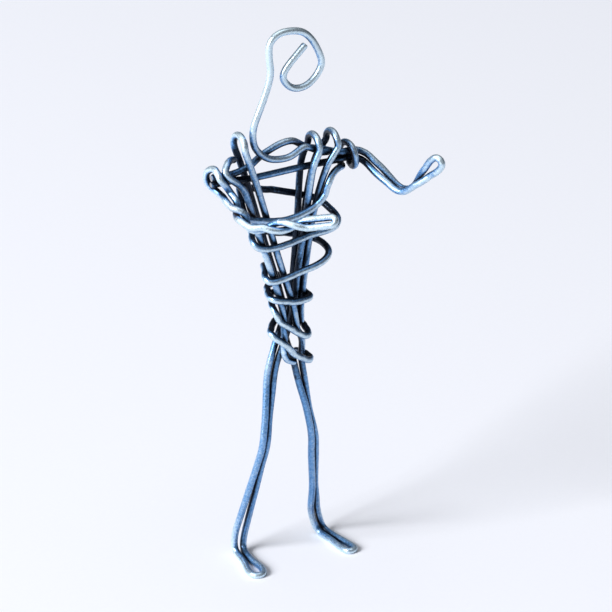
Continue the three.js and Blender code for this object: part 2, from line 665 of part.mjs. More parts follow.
const ARMS = [
  ['right', rightArm, RIGHT_FOREARM_LENGTH, RIGHT_HAND_LOOP_LENGTH, RIGHT_FOREARM_TWIST],
  ['left', leftArm, LEFT_FOREARM_LENGTH, LEFT_HAND_LOOP_LENGTH, LEFT_FOREARM_TWIST],
];
for (const [name, arm, length, loopLength, twist] of ARMS) {
  addWire(`${name}_upper_arm_front`, strand(arm.shoulder, arm.elbow, 1));
  addWire(`${name}_upper_arm_back`, strand(arm.shoulder, arm.elbow, -1));
  addWire(`${name}_forearm_loop`, forearm(arm.elbow, length, loopLength, twist));
}

// Legs: two strands from hip to knee and from knee to ankle, and one doubled wire for the foot.
function foot({ ankle, heel }, toeOut) {
  const way = at(Math.sign(heel.x) * Math.sin(radians(toeOut)), -Math.cos(radians(toeOut)), 0);
  const axis = new THREE.Vector3().crossVectors(at(0, 0, 1), way);
  const half = ankle.wayOut.angleTo(way) / 2;
  const inwards = way.clone().sub(ankle.wayOut).normalize();
  const stations = [
    { place: along(heel, inwards, HEEL_RADIUS * (1 / Math.cos(half) - 1)), axis: X_AXIS },
    { place: along(heel, way, HEEL_RADIUS * Math.tan(half)), axis },
    { place: along(heel, way, FOOT_LENGTH * 0.5), axis },
  ];
  const tip = {
    neck: along(heel, way, FOOT_LENGTH * 0.79),
    round: along(heel, way, FOOT_LENGTH * 0.971),
    end: along(heel, way, FOOT_LENGTH),
  };
  return loopWire(ankle, stations, tip, axis, TOE_LOOP_WIDTH);
}

// The underside of a foot, filed flat where it stands on the floor.
function fileFlat(mesh) {
  const position = mesh.geometry.getAttribute('position');
  for (let i = 0; i < position.count; i += 1) {
    position.setZ(i, Math.max(0, position.getZ(i)));
  }
  mesh.geometry.computeVertexNormals();
}

const LEGS = [
  ['right', rightLeg, RIGHT_TOE_OUT],
  ['left', leftLeg, LEFT_TOE_OUT],
];
for (const [name, leg, toeOut] of LEGS) {
  const outside = name === 'right' ? -1 : 1;
  for (const [place, side] of [['outer', outside], ['inner', -outside]]) {
    addWire(`${name}_thigh_${place}`, strand(leg.hip, leg.knee, side));
    addWire(`${name}_shin_${place}`, strand(leg.knee, leg.ankle, side));
  }
  fileFlat(addWire(`${name}_foot_loop`, foot(leg, toeOut)));
}

// The origin lies on the floor, under the middle of the figure's outline.
const middle = new THREE.Box3().setFromObject(figure).getCenter(new THREE.Vector3());
figure.position.set(-middle.x, -middle.y, 0);

export default figure;
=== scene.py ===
"""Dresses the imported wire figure: smooth bent wire in place of faceted solids, floor, light and camera."""
import json
import math

import bmesh
import bpy
import numpy as np
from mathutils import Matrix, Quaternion, Vector
from mathutils.kdtree import KDTree


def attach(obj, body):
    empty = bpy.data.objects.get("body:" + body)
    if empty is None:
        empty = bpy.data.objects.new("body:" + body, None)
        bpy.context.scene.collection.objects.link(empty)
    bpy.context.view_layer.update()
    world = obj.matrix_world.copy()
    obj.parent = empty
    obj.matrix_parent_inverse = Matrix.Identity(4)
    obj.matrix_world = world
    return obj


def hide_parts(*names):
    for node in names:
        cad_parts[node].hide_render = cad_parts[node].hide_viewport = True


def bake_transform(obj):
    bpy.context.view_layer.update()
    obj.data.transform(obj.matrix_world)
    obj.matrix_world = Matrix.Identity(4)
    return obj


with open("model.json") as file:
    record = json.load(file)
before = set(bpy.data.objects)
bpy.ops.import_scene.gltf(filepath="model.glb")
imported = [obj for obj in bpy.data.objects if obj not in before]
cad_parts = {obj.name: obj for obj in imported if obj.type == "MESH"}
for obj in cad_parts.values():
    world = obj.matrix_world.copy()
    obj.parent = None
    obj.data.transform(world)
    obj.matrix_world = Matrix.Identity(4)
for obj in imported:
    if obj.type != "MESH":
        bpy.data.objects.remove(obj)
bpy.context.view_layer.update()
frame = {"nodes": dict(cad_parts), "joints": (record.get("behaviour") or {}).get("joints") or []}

MM = 0.001

# The wire itself
WIRE_SIDES = 20
WIRE_STEP = 0.3 * MM  # between the rings of a wire, and between the points of its line
CUT_TAPER = 0.35 * MM  # length over which a nipped end narrows
CUT_SHARE = 0.72  # of the wire's radius that is left at a nipped end
DENT_DEPTH = 0.022 * MM
DENT_SIZE = 2.2 * MM

# Reading the CAD wires
WELD_DISTANCE = 0.004 * MM
DOME_RINGS = 2  # a CAD wire's tip, and the ring between it and the wire's full width
FULL_WIDTH_RING = 6  # a ring of the head's wire, well past its tip

# Bends
EASE_PASSES = 2
EASE_STEPS = 8  # wire steps that are averaged to each side in the middle of a rounded bend
EASE_REACH = 7 * MM  # distance from a bend's hinge at which the rounding stops

# Two strands that lie together
PAIR_STEPS = 24  # that each strand is divided into
PAIR_CLOSE = 0.88  # of the CAD strands' distance
PAIR_LEAST = 1.7 * MM  # between the centre lines of strands that hardly turn
TWISTED_LEAST = 2.05 * MM  # and of strands that are twisted
DIRECTION_SHARE = 0.02  # of a strand's length to each side, over which its direction is taken

# Limbs. A turn has the degrees that two strands turn about each other, from the top of the limb down.
LEG_CUTS = 0.2, 0.7  # shares of a leg's length, half-way along the thigh and the shin
LEFT_LEG_TURN = 0, 45, 25, 40, 0
LEFT_ANKLE_STEPS = 19  # in place of EASE_STEPS
LEFT_FOOT_EYE = 1  # of the eye's width in the CAD
RIGHT_LEG_TURN = 0, 28, 18, 6, 0
RIGHT_ANKLE_STEPS = 13
RIGHT_FOOT_EYE = 1.3
RIGHT_ARM_TURN = 0, 90, 180
RIGHT_ARM_STEPS = 4  # in place of EASE_STEPS
RIGHT_HAND_EYE = 0.55
FOLD_GAP = 0.15 * MM  # between the inner side of the fold at a loop's tip and the fold's centre
COIL_TURN = 30  # degrees that the coil at the right shoulder is turned to the front
COIL_SHIFT = Vector((0.3, 0, 0)) * MM
SIDE_TRIM = 4  # wire steps off the side strand's upper end, which is cut flat beside a hairpin

# Wires drawn to others or off them. Each pass has the wire steps that are averaged to each side, and the
# most air under the wire that is taken up. With none to take up, a pass only frees wires that are too close.
TIGHT_GAP = 0.1 * MM  # left between wires that are drawn together
PULL_IN = [(12, 1.5 * MM)] * 2
PUSH_OFF = [(5, 0)] * 12
LOOSE_START = 60  # wire steps of the chest binding's first turn, which stands up off the bars

# Steel: tones from dark scale to bright metal, random patches of scale, and painted shade where wires crowd
# round a wire and on the legs, with a painted highlight on the head
STEEL_TONES = [(0.06, (0.014, 0.024, 0.045)), (0.33, (0.15, 0.35, 0.68)), (0.6, (0.72, 0.89, 1.0))]
SCALE_PATCHES = 0.36, 0.82  # tones of the patches, where nothing shelters the wire
# painted shade: how much darker a wire is drawn where other wires crowd round it
PAINTED_SHADE_STRENGTH = 0.7
# painted light by height: darker legs and a lighter head
PAINTED_LIGHT_HEIGHTS = np.array((4, 12, 44, 54, 104, 114)) * MM
PAINTED_LIGHT_BY_HEIGHT = 0, 0.3, 0.3, 0, 0, -0.15  # at these heights: painted shade on the legs, painted highlight on the head
OUTLOOK_STRIDE = 2  # every second point of the lines stands for the wire in the way
SPOTS_AT_ONCE = 200  # vertices whose outlook is worked out together, to save memory
MARKS_ALONG = 300.0  # per metre, which is slow, so that the drawing marks run along the wire
MARKS_DEPTH = 0.5  # of the pits' depth
BLOOM_STOPS = [(0.6, (0, 0, 0)), (0.76, (0.45, 0.45, 0.45))]
BLOOM_BROWN = (0.2, 0.14, 0.11)
PIT_ROUGHNESS = [(0.35, (0.5, 0.5, 0.5)), (0.62, (0.22, 0.22, 0.22))]
WIRE_METALLIC = 0.75
CUT_TONES = [(0.2, (0.26, 0.28, 0.3)), (0.8, (0.42, 0.44, 0.46))]
CUT_METALLIC = 0.95
CUT_ROUGHNESS = 0.42

# The photo's camera, paper and light
PHOTO_AZIMUTH = math.radians(28)
PHOTO_ELEVATION = math.radians(25)
PHOTO_DISTANCE = 0.7
PHOTO_CENTRE = Vector((-1.36, 6.34, 63.9)) * MM
PHOTO_FOCAL_SHARE = 3062.5 / 612  # focal length over the picture's width
SENSOR_WIDTH = 36
NEAR_CLIP = 0.01
PAPER = (0.87, 0.89, 0.96)
PAPER_BOUNCE = (0.06, 0.065, 0.075)  # the paper's colour in the light that it throws on the wire
PAPER_TOOTH = 0.99  # of the paper's tone, in its hollows
PAPER_ROUGHNESS = 0.85
PAPER_SPECULAR = 0.15
FLOOR_SIZE = 6
AMBIENT_STRENGTH = 0.08
LAMP_DISTANCE = 4.5
WINDOW_WAY = 0.5, 0.72, 0.5  # up, to the picture's left, and to the front
WINDOW_SIZE = 2.5
WINDOW_WATTS = 330
CEILING_SIZE = 4.5
CEILING_WATTS = 60

# Places of sockets that share a name with others on their node
MIX_A, MIX_B, MIX_RESULT = 6, 7, 2
COMPARE_A, COMPARE_B = 2, 3

scene = bpy.context.scene
scene.view_settings.view_transform = "Standard"
joints = {joint["name"]: joint for joint in frame["joints"]}
made_wires = []  # the mesh of each wire, with its line


# Materials

def new_material(name):
    material = bpy.data.materials.new(name)
    material.use_nodes = True
    tree = material.node_tree
    return material, tree, tree.nodes["Principled BSDF"]


def add(tree, kind, **settings):
    """A new node, with values for its inputs or for its own settings."""
    node = tree.nodes.new(kind)
    for key, value in settings.items():
        if key in node.inputs:
            node.inputs[key].default_value = value
        else:
            setattr(node, key, value)
    return node


def link(tree, source, target):
    tree.links.new(source, target)


def pattern(tree, kind, where, **settings):
    """A texture's value at a place."""
    node = add(tree, kind, **settings)
    link(tree, where, node.inputs["Vector"])
    return node.outputs["Fac"]


def times_plus(tree, source, factor, addend):
    node = add(tree, "ShaderNodeMath", operation="MULTIPLY_ADD")
    link(tree, source, node.inputs[0])
    node.inputs[1].default_value = factor
    link(tree, addend, node.inputs[2])
    return node.outputs["Value"]


def ramp(tree, source, stops):
    node = add(tree, "ShaderNodeValToRGB")
    elements = node.color_ramp.elements
    while len(elements) < len(stops):
        elements.new(0.5)
    for element, (place, colour) in zip(elements, stops):
        element.position = place
        element.color = (*colour, 1)
    link(tree, source, node.inputs["Fac"])
    return node.outputs["Color"]


def roughen(tree, shader, height, strength, distance):
    bump = add(tree, "ShaderNodeBump", Strength=strength, Distance=distance)
    link(tree, height, bump.inputs["Height"])
    link(tree, bump.outputs["Normal"], shader.inputs["Normal"])


def place_on_wire(tree):
    """A place that goes round the wire fast and along it slowly."""
    along = add(tree, "ShaderNodeAttribute", attribute_name="along")
    round_ = add(tree, "ShaderNodeAttribute", attribute_name="round")
    parts = add(tree, "ShaderNodeSeparateXYZ")
    slow = add(tree, "ShaderNodeMath", operation="MULTIPLY")
    slow.inputs[1].default_value = MARKS_ALONG
    stretch = add(tree, "ShaderNodeCombineXYZ")
    link(tree, round_.outputs["Vector"], parts.inputs["Vector"])
    link(tree, along.outputs["Fac"], slow.inputs[0])
    link(tree, parts.outputs["X"], stretch.inputs["X"])
    link(tree, parts.outputs["Y"], stretch.inputs["Y"])
    link(tree, slow.outputs["Value"], stretch.inputs["Z"])
    return stretch.outputs["Vector"]


def drawn_wire_material():
    """Soft steel with random patches of scale, painted shade where wires crowd round it and on the legs, a
    painted highlight on the head, drawing marks, pits and a brown bloom.
    """
    material, tree, shader = new_material("drawn_wire")
    noise = "ShaderNodeTexNoise"
    place = add(tree, "ShaderNodeTexCoord").outputs["Object"]
    marks = pattern(tree, noise, place_on_wire(tree), Scale=2.6, Detail=5.0, Roughness=0.62)
    scale = pattern(tree, noise, place, Scale=1700.0, Detail=5.0, Roughness=0.65)
    pits = pattern(tree, noise, place, Scale=3000.0, Detail=5.0, Roughness=0.65)
    bloom = pattern(tree, noise, place, Scale=110.0, Detail=3.0, Roughness=0.5)
    painted_shade_and_highlight = add(tree, "ShaderNodeAttribute", attribute_name="painted_shade_and_highlight")
    patches = add(tree, "ShaderNodeMapRange")
    patches.inputs["To Min"].default_value, patches.inputs["To Max"].default_value = SCALE_PATCHES
    link(tree, scale, patches.inputs["Value"])
    # painted shade darkens the patches where wires crowd round and on the legs, and a painted highlight
    # lightens them on the head
    tone_with_painted_light = times_plus(tree, painted_shade_and_highlight.outputs["Fac"], -PAINTED_SHADE_STRENGTH, patches.outputs["Result"])
    stained = add(tree, "ShaderNodeMix", data_type="RGBA")
    link(tree, ramp(tree, bloom, BLOOM_STOPS), stained.inputs["Factor"])
    link(tree, ramp(tree, tone_with_painted_light, STEEL_TONES), stained.inputs[MIX_A])
    stained.inputs[MIX_B].default_value = (*BLOOM_BROWN, 1)
    link(tree, stained.outputs[MIX_RESULT], shader.inputs["Base Color"])
    link(tree, ramp(tree, pits, PIT_ROUGHNESS), shader.inputs["Roughness"])
    roughen(tree, shader, times_plus(tree, marks, MARKS_DEPTH, pits), strength=0.25, distance=0.06 * MM)
    shader.inputs["Metallic"].default_value = WIRE_METALLIC
    return material


def cut_end_material():
    """The sheared face of a nipped end: brighter, with the cutter's ridges."""
    material, tree, shader = new_material("cut_end")
    place = add(tree, "ShaderNodeTexCoord").outputs["Object"]
    ridges = pattern(tree, "ShaderNodeTexWave", place, Scale=1500.0, Distortion=3.0, Detail=2.0)
    link(tree, ramp(tree, ridges, CUT_TONES), shader.inputs["Base Color"])
    roughen(tree, shader, ridges, strength=0.4, distance=0.05 * MM)
    shader.inputs["Metallic"].default_value = CUT_METALLIC
    shader.inputs["Roughness"].default_value = CUT_ROUGHNESS
    return material


DRAWN_WIRE = drawn_wire_material()
CUT_END = cut_end_material()


# Wire that follows a path, made in Geometry Nodes

def wire_tree():
    """Sweeps a round wire along a path, dents it a little by hand, and narrows the ends that were nipped."""
    tree = bpy.data.node_groups.new("bent_wire", "GeometryNodeTree")
    face = tree.interface
    face.new_socket("Path", in_out="INPUT", socket_type="NodeSocketGeometry")
    face.new_socket("Wire", in_out="OUTPUT", socket_type="NodeSocketGeometry")
    sizes = "Radius", "Step", "Taper", "Cut share", "Start is cut", "End is cut", "Dent depth", "Dent size"
    for name in sizes:
        face.new_socket(name, in_out="INPUT", socket_type="NodeSocketFloat")
    face.new_socket("Sides", in_out="INPUT", socket_type="NodeSocketInt")
    given = add(tree, "NodeGroupInput").outputs
    result = add(tree, "NodeGroupOutput")

    def value(operation, *terms):
        node = add(tree, "ShaderNodeMath", operation=operation)
        for socket, term in zip(node.inputs, terms):
            if isinstance(term, (int, float)):
                socket.default_value = term
            else:
                link(tree, term, socket)
        return node.outputs["Value"]

    def narrowing(distance, is_cut):
        fade = add(tree, "ShaderNodeMapRange", interpolation_type="SMOOTHSTEP")
        link(tree, distance, fade.inputs["Value"])
        link(tree, given["Taper"], fade.inputs["From Max"])
        loss = value("MULTIPLY", value("SUBTRACT", 1.0, given["Cut share"]), is_cut)
        loss_here = value("MULTIPLY", loss, value("SUBTRACT", 1.0, fade.outputs["Result"]))
        return value("SUBTRACT", 1.0, loss_here)

    even = add(tree, "GeometryNodeResampleCurve", mode="LENGTH")
    link(tree, given["Path"], even.inputs["Curve"])
    link(tree, given["Step"], even.inputs["Length"])
    run = add(tree, "GeometryNodeSplineParameter")
    whole = add(tree, "GeometryNodeSplineLength")
    keep_along = add(tree, "GeometryNodeStoreNamedAttribute", data_type="FLOAT", Name="along")
    link(tree, even.outputs["Curve"], keep_along.inputs["Geometry"])
    link(tree, run.outputs["Length"], keep_along.inputs["Value"])
    left = value("SUBTRACT", whole.outputs["Length"], run.outputs["Length"])
    thickness = value(
        "MULTIPLY",
        narrowing(run.outputs["Length"], given["Start is cut"]),
        narrowing(left, given["End is cut"]),
    )
    ring = add(tree, "GeometryNodeCurvePrimitiveCircle")
    link(tree, given["Sides"], ring.inputs["Resolution"])
    link(tree, given["Radius"], ring.inputs["Radius"])
    where = add(tree, "GeometryNodeInputPosition")
    unit = add(tree, "ShaderNodeVectorMath", operation="NORMALIZE")
    link(tree, where.outputs["Position"], unit.inputs[0])
    keep_round = add(tree, "GeometryNodeStoreNamedAttribute", data_type="FLOAT_VECTOR", Name="round")
    link(tree, ring.outputs["Curve"], keep_round.inputs["Geometry"])
    link(tree, unit.outputs["Vector"], keep_round.inputs["Value"])
    sweep = add(tree, "GeometryNodeCurveToMesh")
    sweep.inputs["Fill Caps"].default_value = True
    link(tree, keep_along.outputs["Geometry"], sweep.inputs["Curve"])
    link(tree, keep_round.outputs["Geometry"], sweep.inputs["Profile Curve"])
    link(tree, thickness, sweep.inputs["Scale"])

    noise = add(tree, "ShaderNodeTexNoise", Detail=2.0)
    link(tree, value("DIVIDE", 1.0, given["Dent size"]), noise.inputs["Scale"])
    offset = add(tree, "ShaderNodeVectorMath", operation="SCALE")
    normal = add(tree, "GeometryNodeInputNormal")
    link(tree, normal.outputs["Normal"], offset.inputs[0])
    depth = value("MULTIPLY", value("SUBTRACT", noise.outputs["Fac"], 0.5), given["Dent depth"])
    link(tree, depth, offset.inputs["Scale"])
    dent = add(tree, "GeometryNodeSetPosition")
    link(tree, sweep.outputs["Mesh"], dent.inputs["Geometry"])
    link(tree, offset.outputs["Vector"], dent.inputs["Offset"])

    corners = add(tree, "GeometryNodeInputMeshFaceNeighbors")
    is_end = add(tree, "FunctionNodeCompare", data_type="INT", operation="GREATER_THAN")
    link(tree, corners.outputs["Vertex Count"], is_end.inputs[COMPARE_A])
    is_end.inputs[COMPARE_B].default_value = 4  # corners of a face on the wire's side
    is_side = add(tree, "FunctionNodeBooleanMath", operation="NOT")
    link(tree, is_end.outputs["Result"], is_side.inputs[0])
    shaded = add(tree, "GeometryNodeSetShadeSmooth")
    link(tree, dent.outputs["Geometry"], shaded.inputs["Geometry"])
    link(tree, is_side.outputs["Boolean"], shaded.inputs["Shade Smooth"])
    real = add(tree, "GeometryNodeRealizeInstances")
    link(tree, shaded.outputs["Geometry"], real.inputs["Geometry"])
    sides = add(tree, "GeometryNodeSetMaterial")
    sides.inputs["Material"].default_value = DRAWN_WIRE
    link(tree, real.outputs["Geometry"], sides.inputs["Geometry"])
    ends = add(tree, "GeometryNodeSetMaterial")
    ends.inputs["Material"].default_value = CUT_END
    link(tree, sides.outputs["Geometry"], ends.inputs["Geometry"])
    link(tree, is_end.outputs["Result"], ends.inputs["Selection"])
    link(tree, ends.outputs["Geometry"], result.inputs["Wire"])
    return tree


WIRE_TREE = wire_tree()
SOCKETS = {
    item.name: item.identifier for item in WIRE_TREE.interface.items_tree if item.in_out == "INPUT"
}


# Lines of the CAD wires

def rings_of(node):
    """The rings of a CAD wire's shell, as lists of points from one domed tip to the other."""
    shell = bmesh.new()
    shell.from_mesh(frame["nodes"][node].data)
    bmesh.ops.remove_doubles(shell, verts=shell.verts, dist=WELD_DISTANCE)

    def spread(start):
        levels, seen = [[start]], {start}
        while True:
            found = []
            for vertex in levels[-1]:
                for edge in vertex.link_edges:
                    other = edge.other_vert(vertex)
                    if other not in seen:
                        seen.add(other)
                        found.append(other)
            if not found:
                return levels
            levels.append(found)

    def unevenness(vertex):
        lengths = [edge.calc_length() for edge in vertex.link_edges]
        return max(lengths) - min(lengths)

    tip = min(shell.verts, key=unevenness)
    rings = [[vertex.co.copy() for vertex in level] for level in spread(tip)]
    shell.free()
    return rings


def middle(points):
    return sum(points, Vector()) / len(points)


def centre_line(node):
    return [middle(ring) for ring in rings_of(node)]


def wire_radius():
    ring = rings_of("head_wire")[FULL_WIDTH_RING]
    return max((point - middle(ring)).length for point in ring)


WIRE_RADIUS = wire_radius()


def hinge(name):
    return Vector(joints[name]["pos_m"])


def inside(node, *hinges):
    """A CAD wire's centre line without the domed tips that it has at these hinges, first hinge first."""
    line = centre_line(node)
    if (line[0] - hinges[0]).length > (line[-1] - hinges[0]).length:
        line.reverse()
    line = line[DOME_RINGS:]
    return line[:-DOME_RINGS] if len(hinges) == 2 else line


def both_inside(node):
    """The centre line of a CAD wire that comes back to the hinge it starts from."""
    return centre_line(node)[DOME_RINGS:-DOME_RINGS]


def half_way(line):
    return line[len(line) // 2]


# Shaping of lines

def on_curve(points, knots, t):
    """The point at t between the middle two of four points."""
    def mixed(first, last, start, end):
        return first + (last - first) * ((t - start) / (end - start))

    a, b, c = (mixed(points[i], points[i + 1], knots[i], knots[i + 1]) for i in range(3))
    before, after = mixed(a, b, knots[0], knots[2]), mixed(b, c, knots[1], knots[3])
    return mixed(before, after, knots[1], knots[2])


def smooth(points, closed=False):
    """A smooth line through the points, as points about a wire step apart."""
    if closed:
        held = [points[-1], *points, *points[:2]]
    else:
        held = [points[0] * 2 - points[1], *points, points[-1] * 2 - points[-2]]
    knots = [0.0]
    for first, last in zip(held, held[1:]):
        knots.append(knots[-1] + math.sqrt((last - first).length))
    made = []
    for i in range(1, len(held) - 2):
        count = max(1, round((held[i + 1] - held[i]).length / WIRE_STEP))
        for k in range(count):
            t = knots[i] + (knots[i + 1] - knots[i]) * k / count
            made.append(on_curve(held[i - 1:i + 3], knots[i - 1:i + 3], t))
    return made if closed else [*made, points[-1]]


def downwards(line):
    return line if line[0].z >= line[-1].z else line[::-1]


def eased(line, places, steps=EASE_STEPS):
    """The line with its bends at these places made rounder, as by fingers."""
    for _ in range(EASE_PASSES):
        made = []
        for i, point in enumerate(line):
            near = min((point - place).length for place in places)
            reach = round(steps * max(0, 1 - near / EASE_REACH))
            made.append(middle([line[(i + k) % len(line)] for k in range(-reach, reach + 1)]))
        line = made
    return line


def at_share(line, share):
    """The point at a share of a line's length."""
    left = share * sum((last - first).length for first, last in zip(line, line[1:]))
    for first, last in zip(line, line[1:]):
        step = (last - first).length
        if left <= step:
            return first.lerp(last, left / step)
        left -= step
    return line[-1]


def turned(outer, inner, angles, least):
    """Two strands turned about each other by angles at even shares of their length, no closer than least."""
    made = [], []
    for i in range(PAIR_STEPS + 1):
        share = i / PAIR_STEPS
        first, last = at_share(outer, share), at_share(inner, share)
        ahead = at_share(outer, min(1, share + DIRECTION_SHARE))
        way = ahead - at_share(outer, max(0, share - DIRECTION_SHARE))
        place = share * (len(angles) - 1)
        before = min(int(place), len(angles) - 2)
        ease = (1 - math.cos(math.pi * (place - before))) / 2
        angle = angles[before] + (angles[before + 1] - angles[before]) * ease
        close = 1 + (PAIR_CLOSE - 1) * math.sin(math.pi * share) ** 0.5
        aside = (first - last) / 2
        aside -= aside.project(way)
        aside.length = max(aside.length * close, least / 2)
        aside.rotate(Quaternion(-way, math.radians(angle)))
        made[0].append((first + last) / 2 + aside)
        made[1].append((first + last) / 2 - aside)
    return made


def wide_eye(loop, most):
    """A hairpin loop whose eye is made wider."""
    line = smooth(loop)
    made = []
    for i, (point, partner) in enumerate(zip(line, reversed(line))):
        from_tip = abs(2 * i / (len(line) - 1) - 1)
        wider = 1 + (most - 1) * math.sin(math.pi * min(1, 2 * from_tip))
        made.append((point + partner) / 2 + (point - partner) / 2 * wider)
    return made


def narrow_eye(loop, least):
    """A hairpin loop whose eye is pressed together until its strands meet, with a round fold at its tip."""
    line = smooth(loop)
    fold = WIRE_RADIUS + FOLD_GAP
    tip = (line[(len(line) - 1) // 2] + half_way(line)) / 2
    made = []
    for i, (point, partner) in enumerate(zip(line, reversed(line))):
        aside, seat = (point - partner) / 2, (point + partner) / 2
        from_tip = abs(2 * i / (len(line) - 1) - 1)
        pressed = aside.length * (1 + (least - 1) * math.cos(math.pi * min(0.5, from_tip)))
        short_of_fold = max(0, fold - (seat - tip).length)
        meeting = math.sqrt(max(0, fold ** 2 - short_of_fold ** 2))
        made.append(seat + aside.normalized() * min(aside.length, max(pressed, meeting)))
    return made


def swung(line, angle, shift):
    """A line whose middle is turned about an upright and shifted, while its ends stay."""
    centre = middle(line)
    turn = Quaternion((0, 0, 1), math.radians(angle))
    made = []
    for i, point in enumerate(line):
        share = math.sin(math.pi * i / (len(line) - 1)) ** 0.5
        made.append(point.lerp(centre + turn @ (point - centre) + shift, share))
    return made


def wires_so_far():
    """The lines of the wires made so far, ready to find the nearest point of them."""
    points = [point for _, line in made_wires for point in line]
    found = KDTree(len(points))
    for i, point in enumerate(points):
        found.insert(point, i)
    found.balance()
    return found


def drawn(line, wires, passes, loose=0):
    """A line drawn to wires that it passes close by, but for a loose start, or off those that it cuts."""
    for steps, slack_taken in passes:
        pulls = []
        for i, point in enumerate(line):
            way = wires.find(point)[0] - point
            slack = way.length - 2 * WIRE_RADIUS - TIGHT_GAP
            taken = slack < (0 if i < loose else slack_taken)
            pulls.append(way.normalized() * slack if taken else Vector())
        line = [
            point + middle(pulls[max(0, i - steps):i + steps + 1]) for i, point in enumerate(line)
        ]
    return line


def cuts_at(line, places):
    """The numbers of the line's points that are nearest to these places."""
    return [min(range(len(line)), key=lambda i: (line[i] - place).length) for place in places]


def pieces(line, places):
    """A closed line cut at its points nearest to these places, and put together again past its end."""
    cuts = cuts_at(line, places)
    made = [line[first:last + 1] for first, last in zip(cuts, cuts[1:])]
    return [*made, line[cuts[-1]:] + line[:cuts[0] + 1]]


# Dressed wires

def make_wire(name, line, start_is_cut, end_is_cut):
    """A wire along a line, with each end nipped off or left to meet the next wire."""
    curve = bpy.data.curves.new(name + "_path", "CURVE")
    curve.dimensions = "3D"
    spline = curve.splines.new("POLY")
    spline.points.add(len(line) - 1)
    for point, place in zip(spline.points, line):
        point.co = (*place, 1)
    path = bpy.data.objects.new(name + "_path", curve)
    scene.collection.objects.link(path)
    modifier = path.modifiers.new("bent_wire", "NODES")
    modifier.node_group = WIRE_TREE
    sizes = {
        "Radius": WIRE_RADIUS, "Step": WIRE_STEP, "Taper": CUT_TAPER, "Cut share": CUT_SHARE,
        "Start is cut": float(start_is_cut), "End is cut": float(end_is_cut),
        "Dent depth": DENT_DEPTH, "Dent size": DENT_SIZE, "Sides": WIRE_SIDES,
    }
    for label, size in sizes.items():
        modifier[SOCKETS[label]] = size
    graph = bpy.context.evaluated_depsgraph_get()
    mesh = bpy.data.meshes.new_from_object(
        path.evaluated_get(graph), preserve_all_data_layers=True, depsgraph=graph,
    )
    bpy.data.objects.remove(path)
    wire = bpy.data.objects.new(name, mesh)
    scene.collection.objects.link(wire)
    made_wires.append((mesh, np.array(line)))
    return wire


def stand_for(wire, *nodes):
    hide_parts(*nodes)


def bend_at(wire):
    """Bakes the wire's transform into its mesh."""
    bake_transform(wire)


def torso_wire(name, node, line):
    """A wire of the torso with two free ends."""
    wire = make_wire(name, line, True, True)
    stand_for(wire, node)
    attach(wire, "torso")


def torso_strands():
    hairpin = smooth(centre_line("left_outer_hairpin"))
    torso_wire("left_outer_hairpin_wire", "left_outer_hairpin", hairpin)
    upwards = downwards(smooth(centre_line("right_side_strand")))[::-1]
    torso_wire("right_side_wire", "right_side_strand", upwards[:-SIDE_TRIM])


def neck_and_head():
    """The neck's bar goes on into the curl of the head."""
    place = hinge("neck_bend")
    bar = inside("neck_bar", place)[::-1]
    head = inside("head_wire", place)
    wire = make_wire("neck_and_head_wire", eased(smooth([*bar, *head]), [place]), True, True)
    stand_for(wire, "neck_bar", "head_wire")
    bend_at(wire)


def leg(side, hairpin, angles, ankle_steps, eye):
    """A hairpin's two strands run down through hip and knee, and meet in the foot's loop."""
    hip, knee, ankle = (hinge(f"{side}_{name}_bend") for name in ("hip", "knee", "ankle"))
    thighs = {place: inside(f"{side}_thigh_{place}", hip, knee) for place in ("outer", "inner")}
    shins = {place: inside(f"{side}_shin_{place}", knee, ankle) for place in ("outer", "inner")}
    top = both_inside(hairpin)
    sole = wide_eye(both_inside(f"{side}_foot_loop"), eye)
    strands = dict(zip(("outer", "inner"), turned(
        [*thighs["outer"], *shins["outer"]], [*thighs["inner"], *shins["inner"]], angles, PAIR_LEAST,
    )))
    first, last = sorted(strands, key=lambda place: (strands[place][0] - top[-1]).length)
    if (strands[first][-1] - sole[0]).length > (strands[last][-1] - sole[0]).length:
        sole.reverse()
    loop = smooth([*top, *strands[first], *sole, *strands[last][::-1]], closed=True)
    loop = eased(eased(loop, [hip, knee]), [ankle], ankle_steps)
    (first_thigh, first_shin), (last_thigh, last_shin) = (
        [strands[place][round(PAIR_STEPS * share)] for share in LEG_CUTS] for place in (first, last)
    )
    first_knee, foot, last_knee, hips = pieces(loop, [first_thigh, first_shin, last_shin, last_thigh])
    wire = make_wire(f"{hairpin}_wire", hips, False, False)
    stand_for(wire, hairpin, f"{side}_thigh_outer", f"{side}_thigh_inner")
    bend_at(wire)
    for place, line in ((first, first_knee), (last, last_knee)):
        wire = make_wire(f"{side}_knee_{place}_wire", line, False, False)
        stand_for(wire, f"{side}_thigh_{place}", f"{side}_shin_{place}")
        bend_at(wire)
    wire = make_wire(f"{side}_foot_wire", foot, False, False)
    for vertex in wire.data.vertices:  # the sole is flat on the floor
        vertex.co.z = max(vertex.co.z, 0)
    stand_for(wire, f"{side}_foot_loop", f"{side}_shin_outer", f"{side}_shin_inner")
    bend_at(wire)


def upper_arm(side):
    shoulder, elbow = hinge(f"{side}_shoulder_bend"), hinge(f"{side}_elbow_bend")
    return {place: inside(f"{side}_upper_arm_{place}", shoulder, elbow) for place in ("front", "back")}


def forearm(side, line):
    wire = make_wire(f"{side}_forearm_wire", line, False, False)
    stand_for(wire, f"{side}_forearm_loop", f"{side}_upper_arm_front", f"{side}_upper_arm_back")
    loop = both_inside(f"{side}_forearm_loop")
    bend_at(wire)


